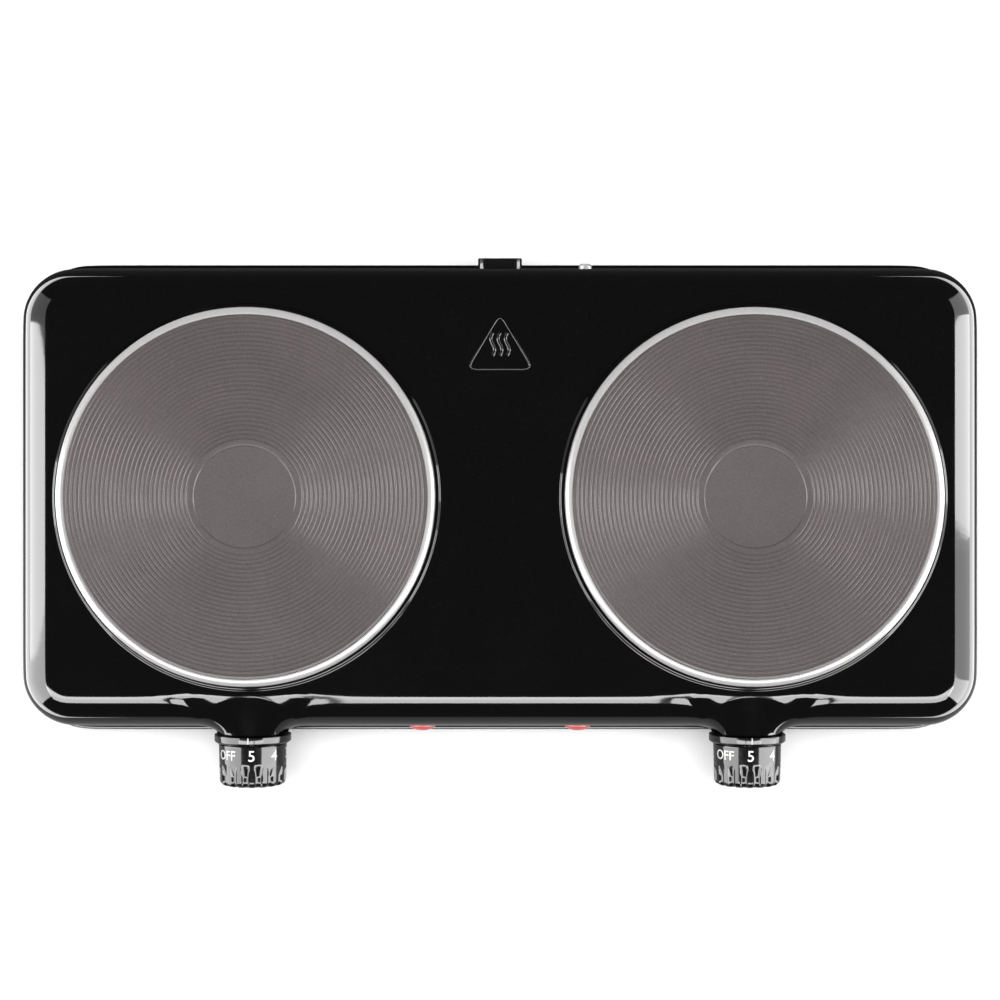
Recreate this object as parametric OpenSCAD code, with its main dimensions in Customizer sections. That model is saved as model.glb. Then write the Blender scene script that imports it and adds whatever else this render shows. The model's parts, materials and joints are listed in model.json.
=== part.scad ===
// Countertop double electric hot plate: two cast-iron plates in an enamelled steel housing,
// each with its own cam-operated thermostat, front dial and pilot lamp.
// Millimetres, +Z up, +X right, front towards -Y. The origin is the centre of the
// bounding box's footprint, on the surface that the feet stand on.

/* [Housing] */
// Width of the flat top panel
top_w = 449; // [447:1:460]
// Depth of the flat top panel
top_d = 198; // [197:1:206]
// Height of the top panel
top_z = 62; // [61.5:0.5:63]
// Radius that rolls the top panel over into the skirt
roll_r = 16.5; // [15.5:0.5:17]
// Corner radius of the flat top panel in plan
corner_r = 10; // [8:0.5:12]
// Lean of the skirt from upright, degrees
skirt_draft = 7.2; // [7:0.1:8]
// Height of the skirt's lower edge
skirt_z = 9; // [8:0.5:9]
// How far the turned-out hem stands beyond the skirt
hem_out = 1.8; // [1.6:0.1:2]
// Thickness of the pressed steel
sheet_t = 0.8; // [0.6:0.1:0.9]

/* [Hot plates] */
// Distance from the middle to each hot plate and its dial
plate_x = 126; // [124:0.5:127]
// Radius of the cast-iron disc
plate_r = 90; // [89:0.5:90]
// Radius of the trim ring
ring_r = 94; // [93.5:0.25:94.25]
// Height of the cooking surface
plate_z = 71; // [70:0.5:73]
// Number of turned grooves in the cooking surface
grooves = 28; // [20:1:28]
// Pitch of the turned grooves
groove_pitch = 2.19; // [2:0.01:2.19]

/* [Dials] */
// Height of the dial axis
dial_z = 38; // [37.5:0.5:38.5]
// Radius of the bezel behind the dial
bezel_r = 19.4; // [18.8:0.1:19.4]
// Radius of the dial at its skirt
dial_r = 17.2; // [16.5:0.1:17.4]
// Length of the dial
dial_len = 20.9; // [19:0.1:22]
// Number of finger flutes round the dial
flutes = 16; // [12:1:18]
// Turn of the left dial, degrees anticlockwise from the 5 mark
left_turn = -5; // [-5:1:310]
// Turn of the right dial, degrees anticlockwise from the 5 mark
right_turn = 1; // [-5:1:310]

/* [Lamps, cord entry and feet] */
// Distance from the middle to each pilot lamp
lamp_x = 40; // [30:1:60]
// Height of the pilot lamps
lamp_z = 27; // [24:1:30]
// Radius of the cord hole in the gland
cord_r = 3.6; // [3:0.1:4]
// Height of the feet
foot_h = 9.4; // [9.4:0.1:9.4]

/* [Hidden] */
$fn = 96;

enamel = "#101011";
cast_iron = "#757070";
stainless = "#d8d8da";
zinc = "#b4b6b8";
black_plastic = "#161617";
ceramic = "#e6e0d2";

// Housing section, measured outwards from the corner centres
core_x = top_w / 2 - corner_r;
core_y = top_d / 2 - corner_r;
roll_steps = 12;
roll_angle = 90 - skirt_draft;
roll_foot_r = corner_r + roll_r * sin(roll_angle);
roll_foot_z = top_z - roll_r * (1 - cos(roll_angle));
function skirt_reach(z) = roll_foot_r + (roll_foot_z - z) * tan(skirt_draft);
hem_z = skirt_z + 3.8;
hem_reach = skirt_reach(hem_z) + hem_out;

// Dial, bezel and gland stations, measured from the middle of the housing
neck_y = -120.5;
neck_r = 18;
bezel_t = 4.5;
dial_back = -bezel_t - 0.4;
dial_front_y = neck_y + dial_back - dial_len;
gland_z = 26;
gland_head = [22.5, 17, 5.2];
gland_low_z = gland_z - gland_head[1] / 2 * cos(skirt_draft);
gland_reach = skirt_reach(gland_low_z) + gland_head[2] * cos(skirt_draft);
rear_reach = core_y + max(gland_reach, hem_reach);
housing_y = (-dial_front_y - rear_reach) / 2;

// Heights inside the housing
seat_rise = 1.2;
seat_z = top_z + seat_rise;
seat_r = 95;
hole_r = plate_r + 1.5;
shoulder_z = top_z;
plate_under_z = top_z;
rim_z = top_z - 3;
boss_z = top_z - 5;
bar_z = top_z - 12;
shield_z = top_z - 22.8;
base_top_z = skirt_z + 1.4;
base_t = 1;

// Travel of a dial, anticlockwise from the 5 mark, between its end stops
turn_min = -6;
turn_max = 312;
cam_min_r = 5;
cam_rise = 2.5;
lever_pivot = [7.6, 12];
lever_tip_r = 1.2;
lever_gap = 0.2;
lever_half_swing = asin(cam_rise / 2 / lever_pivot[1]);
function lever_angle(turn) =
    -lever_half_swing + 2 * lever_half_swing * (turn - turn_min) / (turn_max - turn_min);
function cam_radius(turn) = cam_min_r + cam_rise * (turn - turn_min) / (turn_max - turn_min);

// Moves a piece from the housing's own middle to the row frame
module place() {
    translate([0, housing_y, 0]) children();
}

// Puts a child's +Z along the front, -Y, and its +Y upwards
module facing_front(x, y, z) {
    translate([x, y, z]) rotate([90, 0, 0]) children();
}

// Puts a child's +Z square out of the skirt at x and height z, and its +Y up the wall
module on_skirt(x, z, rear = false) {
    rotate([0, 0, rear ? 180 : 0])
        translate([rear ? -x : x, -core_y - skirt_reach(z), z])
        rotate([90 - skirt_draft, 0, 0]) children();
}

module ring(r_out, r_in, h) {
    difference() {
        cylinder(r = r_out, h = h);
        translate([0, 0, -1]) cylinder(r = r_in, h = h + 2);
    }
}

module box(size, at = [0, 0, 0]) {
    translate(at - [size[0] / 2, size[1] / 2, 0]) cube(size);
}

// Pan-head screw pointing down -Z, with its head above z = 0
module pan_screw(head_r, head_h, shank_r, length) {
    difference() {
        union() {
            cylinder(r = head_r, h = head_h * 0.55);
            translate([0, 0, head_h * 0.55]) cylinder(r1 = head_r, r2 = head_r * 0.62, h = head_h * 0.45);
            translate([0, 0, -length]) cylinder(r = shank_r, h = length + 0.1);
        }
        for (turn = [0, 90])
            rotate([0, 0, turn]) box([head_r * 1.1, head_r * 0.24, head_h], [0, 0, head_h * 0.5]);
    }
}

module hex_nut(flats, bore_r, h) {
    difference() {
        cylinder(r = flats / 2 / cos(30), h = h, $fn = 6);
        translate([0, 0, -1]) cylinder(r = bore_r, h = h + 2);
    }
}

// Block whose edges all have the same section: points are [reach, height] from the corner centres
module rolled_block(points, low_z, high_z) {
    for (mx = [0, 1], my = [0, 1])
        mirror([mx, 0, 0]) mirror([0, my, 0])
            translate([core_x, core_y, 0]) rotate_extrude(angle = 90) polygon(points);
    for (m = [0, 1]) {
        mirror([0, m, 0]) translate([0, core_y, 0])
            rotate([90, 0, 90]) linear_extrude(2 * core_x, center = true) polygon(points);
        mirror([m, 0, 0]) translate([core_x, 0, 0])
            rotate([90, 0, 0]) linear_extrude(2 * core_y, center = true) polygon(points);
    }
    translate([-core_x, -core_y, low_z]) cube([2 * core_x, 2 * core_y, high_z - low_z]);
}

// Section of the housing, taken in by the wall thickness given
function housing_section(inset, low_z) = concat(
    [[0, low_z], [0, top_z - inset], [corner_r, top_z - inset]],
    [for (i = [1:roll_steps])
        let (a = roll_angle * i / roll_steps)
        [corner_r + (roll_r - inset) * sin(a), top_z - roll_r + (roll_r - inset) * cos(a)]],
    hem_section(inset, low_z));

// Foot of the skirt: it turns out in a small hollow, runs nearly level and turns down again
function hem_section(inset, low_z) = let (wall = skirt_reach(hem_z)) inset == 0
    ? [[wall, hem_z], [wall + 0.18, hem_z - 0.5], [wall + 0.6, hem_z - 0.75],
        [hem_reach - 0.6, hem_z - 0.88], [hem_reach - 0.18, hem_z - 1.08],
        [hem_reach, hem_z - 1.5], [hem_reach, low_z]]
    : [[skirt_reach(hem_z - 0.6) - inset / cos(skirt_draft), hem_z - 0.6], [wall - 0.3, hem_z - 0.6 - inset],
        [hem_reach - inset, hem_z - 0.8 - inset], [hem_reach - inset, low_z]];

module lug(x, front) {
    depth = 13;
    y = core_y + hem_reach - 0.4;
    mirror([0, front ? 1 : 0, 0])
        difference() {
            translate([x - 8, y - depth, base_top_z]) cube([16, depth, sheet_t]);
            translate([x, y - depth + 5, base_top_z - 1]) cylinder(r = 1.6, h = 3);
        }
}

lug_hole_y = core_y + hem_reach - 0.4 - 8;
lug_xs = [-180, 0, 180];

module neck(r, from_y, to_y) {
    for (side = [-1, 1])
        facing_front(side * plate_x, from_y, dial_z) cylinder(r = r, h = from_y - to_y);
}

module top_shell() color(enamel) place() {
    difference() {
        union() {
            rolled_block(housing_section(0, skirt_z), skirt_z, top_z);
            neck(neck_r, -95, neck_y);
            for (side = [-1, 1])
                translate([side * plate_x, 0, top_z - 0.2])
                    cylinder(r1 = seat_r + 1.4, r2 = seat_r, h = seat_rise + 0.2);
        }
        rolled_block(housing_section(sheet_t, skirt_z - 1), skirt_z - 1, top_z - sheet_t);
        neck(neck_r - sheet_t, -90, neck_y + sheet_t);
        for (side = [-1, 1]) {
            translate([side * plate_x, 0, top_z - sheet_t - 0.2])
                cylinder(r1 = seat_r + 0.8, r2 = seat_r - 0.6, h = seat_rise + 0.2);
            translate([side * plate_x, 0, top_z - 5]) cylinder(r = hole_r, h = 10);
            facing_front(side * plate_x, neck_y + 3, dial_z) {
                cylinder(r = 5.2, h = 6);
                for (x = [-10.5, 10.5]) translate([x, 0, 0]) cylinder(r = 1.9, h = 6);
                for (y = [-15.6, 15.6]) translate([0, y, 0]) cylinder(r = 1.3, h = 6);
            }
            on_skirt(side * lamp_x, lamp_z) translate([0, 0, -3]) cylinder(r = 5.05, h = 6);
        }
        on_skirt(0, gland_z, rear = true) translate([0, 0, -3]) cylinder(r = 7, h = 6);
        on_skirt(earth_x, earth_z, rear = true) translate([0, 0, -3]) cylinder(r = 2.1, h = 6);
    }
    for (x = lug_xs, front = [false, true]) lug(x, front);
}

// Slot with round ends along X, cut through the base plate
module vent_slot(length, width) {
    box([length, width, 4], [0, 0, -2]);
    for (x = [-length / 2, length / 2]) translate([x, 0, -2]) cylinder(r = width / 2, h = 4);
}

foot_x = 196;
foot_y = 92;

module base_plate() color("#3a3b3d") place() {
    r = hem_reach - sheet_t - 0.5;
    translate([0, 0, base_top_z - base_t]) difference() {
        union() {
            box([2 * core_x, 2 * (core_y + r), base_t]);
            box([2 * (core_x + r), 2 * core_y, base_t]);
            for (x = [-core_x, core_x], y = [-core_y, core_y])
                translate([x, y, 0]) cylinder(r = r, h = base_t);
        }
        for (side = [-1, 1], row = [-3.5:3.5], bank = [-1, 1])
            translate([side * plate_x + bank * 27, row * 12, 0]) vent_slot(36, 4);
        for (x = lug_xs, y = [-lug_hole_y, lug_hole_y])
            translate([x, y, -1]) cylinder(r = 1.9, h = 4);
        for (x = [-foot_x, foot_x], y = [-foot_y, foot_y])
            translate([x, y, -1]) cylinder(r = 2.2, h = 4);
    }
}

// Cast-iron plate, turned section
groove_first_r = 28.8;
groove_half_w = 0.62;
groove_depth = 0.4;
well_r = 25.1;
well_depth = 0.5;
coil_rs = [34, 51, 68];
channel_half_w = 3.5;
channel_h = 4.5;
coil_wire_r = 1.85;

module hot_plate(side) color(cast_iron) place() translate([side * plate_x, 0, 0]) {
    face = concat(
        [[0, plate_z - well_depth], [well_r, plate_z - well_depth], [well_r + well_depth, plate_z]],
        [for (i = [0:grooves - 1]) let (r = groove_first_r + i * groove_pitch) each [
            [r - groove_half_w, plate_z], [r, plate_z - groove_depth], [r + groove_half_w, plate_z]]],
        [[plate_r - 0.6, plate_z], [plate_r, plate_z - 0.6]]);
    under = [[plate_r, shoulder_z], [plate_r - 3, shoulder_z], [plate_r - 3, rim_z],
        [plate_r - 8, rim_z], [plate_r - 8, plate_under_z]];
    channels = [for (i = [len(coil_rs) - 1:-1:0]) each [
        [coil_rs[i] + channel_half_w, plate_under_z],
        [coil_rs[i] + channel_half_w, plate_under_z + channel_h],
        [coil_rs[i] - channel_half_w, plate_under_z + channel_h],
        [coil_rs[i] - channel_half_w, plate_under_z]]];
    boss = [[9, plate_under_z], [9, boss_z], [3.05, boss_z], [3.05, plate_under_z + 4], [0, plate_under_z + 4]];
    rotate_extrude() polygon(concat(face, under, channels, boss));
}

module heating_coil(side) color("#8a7d70") place() translate([side * plate_x, 0, 0])
    for (r = coil_rs)
        rotate_extrude() translate([r, plate_under_z + channel_h / 2]) circle(r = coil_wire_r, $fn = 24);

module element_cement(side) color("#d9d2c3") place() translate([side * plate_x, 0, 0])
    for (r = coil_rs)
        rotate_extrude() difference() {
            translate([r - channel_half_w, plate_under_z]) square([2 * channel_half_w, channel_h]);
            translate([r, plate_under_z + channel_h / 2]) circle(r = coil_wire_r + 0.05, $fn = 24);
        }

// Stainless trim ring: a rolled outer wall that stands on the raised seat, and an inner wall with a
// lip that carries the cast-iron plate
module trim_ring(side) color(stainless) place() translate([side * plate_x, 0, 0])
    rotate_extrude() polygon([
        [plate_r - 2.7, shoulder_z], [plate_r + 0.3, shoulder_z], [plate_r + 0.3, plate_z - 1.8],
        [ring_r - 2.4, plate_z - 1.8], [ring_r - 1.0, plate_z - 2.7], [ring_r - 0.2, plate_z - 4.2],
        [ring_r, plate_z - 6], [ring_r, seat_z], [ring_r - 0.7, seat_z], [ring_r - 0.7, plate_z - 6],
        [ring_r - 0.9, plate_z - 4.5], [ring_r - 1.5, plate_z - 3.3], [ring_r - 2.6, plate_z - 2.5],
        [plate_r + 1.1, plate_z - 2.5], [plate_r + 1.1, shoulder_z - 0.8],
        [plate_r - 2.7, shoulder_z - 0.8]]);

module under_cover(side) color(zinc) place()
    translate([side * plate_x, 0, plate_under_z - sheet_t]) ring(plate_r - 8.3, 9.3, sheet_t);

module plate_stud(side) color(zinc) place()
    translate([side * plate_x, 0, shield_z - 7]) cylinder(r = 3, h = plate_under_z + 3.5 - shield_z + 7);

module plate_nuts() color(zinc) place()
    for (side = [-1, 1], z = [bar_z - 5, bar_z - 10, shield_z - 5])
        translate([side * plate_x, 0, z]) hex_nut(10, 3.05, z < bar_z - 6 && z > shield_z ? 4.9 : 5);

// Bar that spans the opening under the top panel and pulls the hot plate down on to its seat
module clamp_bar(side) color(zinc) place() translate([side * plate_x, 0, 0]) {
    foot_out = hole_r + 2.2;
    foot_t = 1.5;
    difference() {
        union() {
            box([2 * foot_out, 16, foot_t], [0, 0, bar_z]);
            for (x = [-1, 1])
                box([foot_t, 16, seat_z - sheet_t - bar_z], [x * (foot_out - foot_t / 2), 0, bar_z]);
        }
        translate([0, 0, bar_z - 1]) cylinder(r = 3.2, h = 4);
    }
}

module heat_shield(side) color("#c9cbcd") place() translate([side * plate_x, 0, shield_z]) {
    ring(72, 3.3, 0.8);
    ring(72, 71.2, 6);
}

terminal_at = [0, 44];

module element_terminal(side) color(ceramic) place()
    translate([side * plate_x + terminal_at[0], terminal_at[1], plate_under_z - sheet_t - 12])
        difference() {
            union() {
                box([26, 13, 12]);
                box([32, 8, 4], [0, 0, 8]);
            }
            for (x = [-7, 7]) translate([x, 0, -1]) cylinder(r = 1.6, h = 11);
            box([1.6, 14, 6], [0, 0, -1]);
        }

// Thermostat, drawn about its shaft axis: X across, Y up, Z towards the front from the neck's end wall
frame_t = 1.2;
frame_front = -sheet_t;
frame_rear = -27.3;
stop_r = 7.4;
cam_back = -16.5;
cam_t = 4;
stack_x = 12.2;
blade_xs = [12.9, 15.9, 19.1];
blade_t = 0.5;

module thermostat_axis(side) {
    place() facing_front(side * plate_x, neck_y, dial_z) children();
}

module sector(r_in, r_out, middle, width, h) {
    steps = 6;
    a = [for (i = [0:steps]) middle - width / 2 + width * i / steps];
    linear_extrude(h) polygon(concat(
        [for (t = a) r_out * [cos(t), sin(t)]],
        [for (i = [steps:-1:0]) r_in * [cos(a[i]), sin(a[i])]]));
}

module thermostat_frame(side) color(zinc) thermostat_axis(side) {
    difference() {
        union() {
            box([28, 18, frame_t], [0, 0, frame_front - frame_t]);
            translate([0, 0, frame_front - frame_t]) cylinder(r = 5, h = frame_t + 2.6);
            box([28, frame_t, frame_front - frame_rear], [0, -9 + frame_t / 2, frame_rear]);
            box([14, frame_t, 16], [20, -9 + frame_t / 2, frame_rear]);
            box([41, 26, frame_t], [6.5, 4, frame_rear]);
        }
        translate([0, 0, frame_rear - 1]) cylinder(r = 3.05, h = 40);
        for (x = [-10.5, 10.5]) translate([x, 0, -5]) cylinder(r = 1.55, h = 5);
    }
    translate([0, 0, frame_front - frame_t - 4]) sector(5.2, stop_r + 1.1, -90, 21, 4.1);
    translate([lever_pivot[0], lever_pivot[1], frame_rear]) cylinder(r = 1.25, h = 17.3);
}

module blades() {
    for (x = blade_xs) box([blade_t, 20, 4], [x + blade_t / 2, 4, cam_back]);
    for (row = [0, 1]) box([9, 0.8, 6.3], [26, 8.4 + 5 * row, cam_back - 4]);
}

module contact_stack(side) color(ceramic) thermostat_axis(side) difference() {
    box([10.4, 10.6, 14], [stack_x + 5.2, 11.2, frame_rear + frame_t]);
    blades();
}

module contact_blades(side) color("#b08d4a") thermostat_axis(side) {
    blades();
    for (i = [0, 1])
        translate([blade_xs[i] + blade_t, -3.4, cam_back + 2]) rotate([0, 90, 0]) cylinder(r = 1.4, h = 0.9);
}

module control_shaft(side, turn) color(zinc) thermostat_axis(side) rotate([0, 0, turn]) {
    flat_from = 8;
    shaft_end = 21;
    difference() {
        translate([0, 0, frame_rear - 1]) cylinder(r = 3, h = shaft_end - frame_rear + 1);
        box([8, 3, 20], [0, 1.5 + 1.5, flat_from]);
    }
    translate([0, 0, -6]) sector(2.5, stop_r, -63, 20, 3);
    translate([0, 0, cam_back]) linear_extrude(cam_t)
        polygon([for (t = [turn_min - 10:6:turn_max + 10]) cam_radius(t) * [cos(-t), sin(-t)]]);
}

module cam_lever(side, turn) color("#6f4a2c") thermostat_axis(side)
    translate([lever_pivot[0], lever_pivot[1], cam_back + 0.3]) rotate([0, 0, lever_angle(turn)])
        difference() {
            union() {
                cylinder(r = 3, h = 3.4);
                box([3, 20.5, 3.4], [1.5, -7.75, 0]);
                translate([0, -lever_pivot[1], 0]) cylinder(r = lever_tip_r, h = 3.4);
            }
            translate([0, 0, -1]) cylinder(r = 1.3, h = 6);
        }

module knob(side, turn) color(black_plastic) thermostat_axis(side)
    translate([0, 0, bezel_t + 0.4]) rotate([0, 0, turn]) {
        wall = 2.2;
        difference() {
            rotate_extrude() polygon([
                [0, 0.6], [6, 0.6], [6, dial_len - 2.6], [dial_r - wall, dial_len - 2.6], [dial_r - wall, 0],
                [dial_r, 0], [dial_r - 0.6, dial_len - 3.2], [dial_r - 1.5, dial_len - 1],
                [dial_r - 3.4, dial_len], [0, dial_len]]);
            difference() {
                cylinder(r = 3.05, h = 16.5);
                box([8, 3, 18], [0, 2 + 1.5, 3]);
            }
            for (i = [0:flutes - 1])
                rotate([0, 0, (i + 0.5) * 360 / flutes]) translate([dial_r + 1.1, 0, 0]) {
                    translate([0, 0, 11]) cylinder(r = 2.3, h = dial_len);
                    translate([0, 0, 11]) sphere(r = 2.3, $fn = 48);
                }
        }
    }

module knob_spring(side, turn) color(stainless) thermostat_axis(side) rotate([0, 0, turn])
    box([4, 0.4, 11.5], [0, 1.72, 8.3]);

module bezel(side) color(black_plastic) thermostat_axis(side) {
    difference() {
        union() {
            cylinder(r = bezel_r, h = bezel_t - 1);
            translate([0, 0, bezel_t - 1]) cylinder(r1 = bezel_r, r2 = bezel_r - 1.2, h = 1);
            box([1.3, 1.4, bezel_t - 0.8], [0, bezel_r - 0.3, 0]);
        }
        translate([0, 0, -1]) cylinder(r = 8, h = bezel_t + 2);
        translate([0, 0, -1]) cylinder(r = 13.8, h = 3.6);
    }
    for (y = [-15.6, 15.6]) translate([0, y, -2.4]) cylinder(r = 1.2, h = 2.5);
}

module thermostat_screws() color(zinc)
    for (side = [-1, 1]) thermostat_axis(side)
        for (x = [-10.5, 10.5]) translate([x, 0, 0]) pan_screw(2.6, 1.9, 1.5, 3.8);

// Pilot lamps, drawn with +Z square out of the skirt
module lamp_lens(side) color("#d0120c") place() on_skirt(side * lamp_x, lamp_z) difference() {
    rotate_extrude() polygon([[0, 2.3], [2.2, 2.15], [4.2, 1.7], [5.6, 1.0], [6.6, 0.7], [6.6, 0],
        [4.9, 0], [4.9, -13], [0, -13]]);
    translate([0, 0, -14]) cylinder(r = 3.7, h = 14.6);
}

module neon_bulb(side) color("#f2b48a") place() on_skirt(side * lamp_x, lamp_z) {
    translate([0, 0, -12]) cylinder(r = 2.9, h = 9);
    translate([0, 0, -3]) sphere(r = 2.9);
}

module lamp_retainers() color(zinc) place()
    for (side = [-1, 1])
        on_skirt(side * lamp_x, lamp_z) translate([0, 0, -sheet_t - 1.1]) ring(7.5, 4.95, 1);

module cord_gland() color(black_plastic) place() on_skirt(0, gland_z, rear = true) difference() {
    union() {
        r = 4;
        for (x = [-1, 1], y = [-1, 1])
            translate([x * (gland_head[0] / 2 - r), y * (gland_head[1] / 2 - r), 0])
                cylinder(r = r, h = gland_head[2]);
        box([gland_head[0] - 2 * r, gland_head[1], gland_head[2]]);
        box([gland_head[0], gland_head[1] - 2 * r, gland_head[2]]);
        translate([0, 0, -10]) cylinder(r = 6.9, h = 10.1);
        translate([0, 0, -4]) cylinder(r = 8.4, h = 4 - sheet_t - 0.1);
    }
    translate([0, 0, -11]) cylinder(r = cord_r, h = 20);
    for (x = [-1, 1]) box([1.2, gland_head[1] + 2, 2], [x * 8.2, 0, gland_head[2] - 0.8]);
}

earth_x = 43.5;
earth_z = 38;

module earth_screw() color(stainless) place() on_skirt(earth_x, earth_z, rear = true)
    pan_screw(3.4, 2.4, 2, 12);

// Nut, and the eyelet that it holds against the wall
module earth_terminal() color("#b08d4a") place() on_skirt(earth_x, earth_z, rear = true) {
    translate([0, 0, -sheet_t - 4]) hex_nut(7, 2.03, 3.1);
    translate([0, 0, -sheet_t - 0.8]) difference() {
        union() {
            cylinder(r = 4.2, h = 0.8);
            box([4, 9, 0.8], [0, -6.5, 0]);
            translate([0, -14, -1.1]) rotate([-90, 0, 0]) cylinder(r = 1.9, h = 5);
        }
        translate([0, 0, -1]) cylinder(r = 2.05, h = 3);
        translate([0, -15, -1.1]) rotate([-90, 0, 0]) cylinder(r = lead_r, h = 5);
    }
}

block_at = [-30, 76];
way_xs = [-18, -6, 6, 18];
way_r = 2.7;
way_z = 5;

module terminal_block() color(ceramic) place()
    translate([block_at[0], block_at[1], base_top_z]) difference() {
        union() {
            box([50, 18, 9]);
            for (x = way_xs) box([9.6, 18, 15], [x, 0, 0]);
        }
        for (x = way_xs) {
            translate([x, 20, way_z]) rotate([90, 0, 0]) cylinder(r = way_r, h = 40);
            for (y = [-5, 5]) translate([x, y, way_z]) cylinder(r = 1.8, h = 12);
        }
    }

module terminal_screws() color(zinc) place()
    for (x = way_xs, y = [-5, 5])
        translate([block_at[0] + x, block_at[1] + y, base_top_z + way_z + way_r + 0.3])
            cylinder(r = 1.7, h = 5.5);

module foot(x, y) color("#1c1c1c") place() translate([x, y, 0]) difference() {
    cylinder(r1 = 9.5, r2 = 11, h = foot_h);
    translate([0, 0, -1]) cylinder(r = 5, h = 5);
    translate([0, 0, 3]) cylinder(r = 2.2, h = 10);
}

module foot_fasteners() color(zinc) place()
    for (x = [-foot_x, foot_x], y = [-foot_y, foot_y]) translate([x, y, 0]) {
        translate([0, 0, 4]) mirror([0, 0, 1]) pan_screw(3.8, 2.4, 2, 11);
        translate([0, 0, base_top_z]) hex_nut(7, 2.03, 3.2);
    }

module base_screws() color(zinc) place()
    for (x = lug_xs, y = [-lug_hole_y, lug_hole_y])
        translate([x, y, base_top_z - base_t]) mirror([0, 0, 1]) pan_screw(3.2, 2, 1.5, 7);

// Insulated leads: tubes swept along smooth routes through a few chosen points
function unit(v) = v / norm(v);
function smooth(p, steps) = [for (i = [0:len(p) - 2], s = [0:steps - 1])
    let (t = s / steps, a = p[max(i - 1, 0)], b = p[i], c = p[i + 1], d = p[min(i + 2, len(p) - 1)])
    0.5 * (2 * b + (c - a) * t + (2 * a - 5 * b + 4 * c - d) * t * t
        + (3 * b - a - 3 * c + d) * t * t * t)];
// Sideways directions along a path, each one the last turned no more than it must be
function carried(tangents, i, side) = i >= len(tangents) ? [] :
    let (next = unit(side - (side * tangents[i]) * tangents[i]))
    concat([next], carried(tangents, i + 1, next));

module lead(points, r) {
    sides = 8;
    path = concat(smooth(points, 4), [points[len(points) - 1]]);
    n = len(path);
    tangents = [for (i = [0:n - 1]) unit(path[min(i + 1, n - 1)] - path[max(i - 1, 0)])];
    first = unit(cross(tangents[0], [0.31, 0.22, 0.92]));
    across = carried(tangents, 0, first);
    rings = [for (i = [0:n - 1]) let (u = across[i], v = cross(tangents[i], u))
        for (k = [0:sides - 1]) path[i] + r * (cos(360 * k / sides) * u + sin(360 * k / sides) * v)];
    walls = [for (i = [0:n - 2], k = [0:sides - 1]) let (j = (k + 1) % sides)
        [i * sides + k, (i + 1) * sides + k, (i + 1) * sides + j, i * sides + j]];
    polyhedron(rings, concat([[for (k = [0:sides - 1]) k]],
        [[for (k = [sides - 1:-1:0]) (n - 1) * sides + k]], walls));
}

lead_r = 1.2;
way_height = base_top_z + way_z;
tab_y = -101.8;
lamp_tab_y = -104.8;
tab_zs = [dial_z + 10.42, dial_z + 15.42];
left_tab_x = 28 - plate_x;
right_tab_x = 28 + plate_x;
live_routes = [
    [[-49.3, 72, way_height], [-49, 58, way_height], [-54, 20, 14], [-62, -50, 14], [-74, -88, 24],
        [-80, -101, 38], [-88, tab_y, tab_zs[0]], [left_tab_x, tab_y, tab_zs[0]]],
    [[-46.7, 72, way_height], [-47, 58, 17], [-36, 20, 20], [30, -10, 20], [120, -62, 16],
        [172, -84, 24], [173, -101, 38], [164, tab_y, tab_zs[0]], [right_tab_x, tab_y, tab_zs[0]]]];
switched_routes = [
    [[left_tab_x, tab_y, tab_zs[1]], [-86, -100.5, 52.5], [-66, -80, 42], [-46, -10, 34], [-62, 52, 36],
        [-94, 70, 44], [-112, 74, 46.4], [-118, 66, 47.1], [-119, 54, 46.9], [-119, 46.5, 47.2],
        [-119, 44, 49.6], [-119, 44, 53]],
    [[right_tab_x, tab_y, tab_zs[1]], [166, -100.5, 52.5], [188, -80, 42], [206, -10, 34], [192, 52, 36],
        [160, 70, 44], [140, 74, 46.4], [134, 66, 47.1], [133, 54, 46.9], [133, 46.5, 47.2],
        [133, 44, 49.6], [133, 44, 53]]];
neutral_routes = [
    [[-25.3, 72, way_height], [-25, 60, 17], [-40, 56, 26], [-86, 84, 36], [-122, 86, 43], [-132, 77, 46.8],
        [-133, 66, 47.1], [-133, 54, 46.9], [-133, 46.5, 47.2], [-133, 44, 49.6], [-133, 44, 53]],
    [[-22.7, 72, way_height], [-22, 60, 17], [-4, 54, 24], [60, 70, 32], [100, 86, 42], [114, 79, 46.8],
        [118.5, 66, 47.1], [119, 54, 46.9], [119, 46.5, 47.2], [119, 44, 49.6], [119, 44, 53]]];
lamp_routes = [
    [[-41.3, -105.6, 25.4], [-42, -99, 27], [-52, -100, 40], [-68, -104, 51], [-84, lamp_tab_y, tab_zs[1]],
        [left_tab_x, lamp_tab_y, tab_zs[1]]],
    [[-38.7, -105.6, 25.4], [-38, -97, 22], [-30, -60, 14], [-17, 0, 13], [-13.3, 58, 14],
        [-13.3, 72, way_height]],
    [[41.3, -105.6, 25.4], [42, -99, 23], [60, -94, 20], [110, -92, 20], [168, -94, 20], [185, -98, 36],
        [180, -104, 52], [166, lamp_tab_y, tab_zs[1]], [right_tab_x, lamp_tab_y, tab_zs[1]]],
    [[38.7, -105.6, 25.4], [38, -97, 22], [22, -60, 14], [-6, 0, 13], [-10.7, 58, 14],
        [-10.7, 72, way_height]]];
earth_route = [[earth_x, 115.6, 24.2], [earth_x, 116.1, 20.2], [41, 113.4, 15.4], [30, 106, 13.4],
    [0, 99, 13.4], [-22, 98, 14.4], [-35, 95, way_height], [-36, 88, way_height], [-36, 80, way_height]];

module leads(routes) {
    place() for (route = routes) lead(route, lead_r);
}

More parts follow.
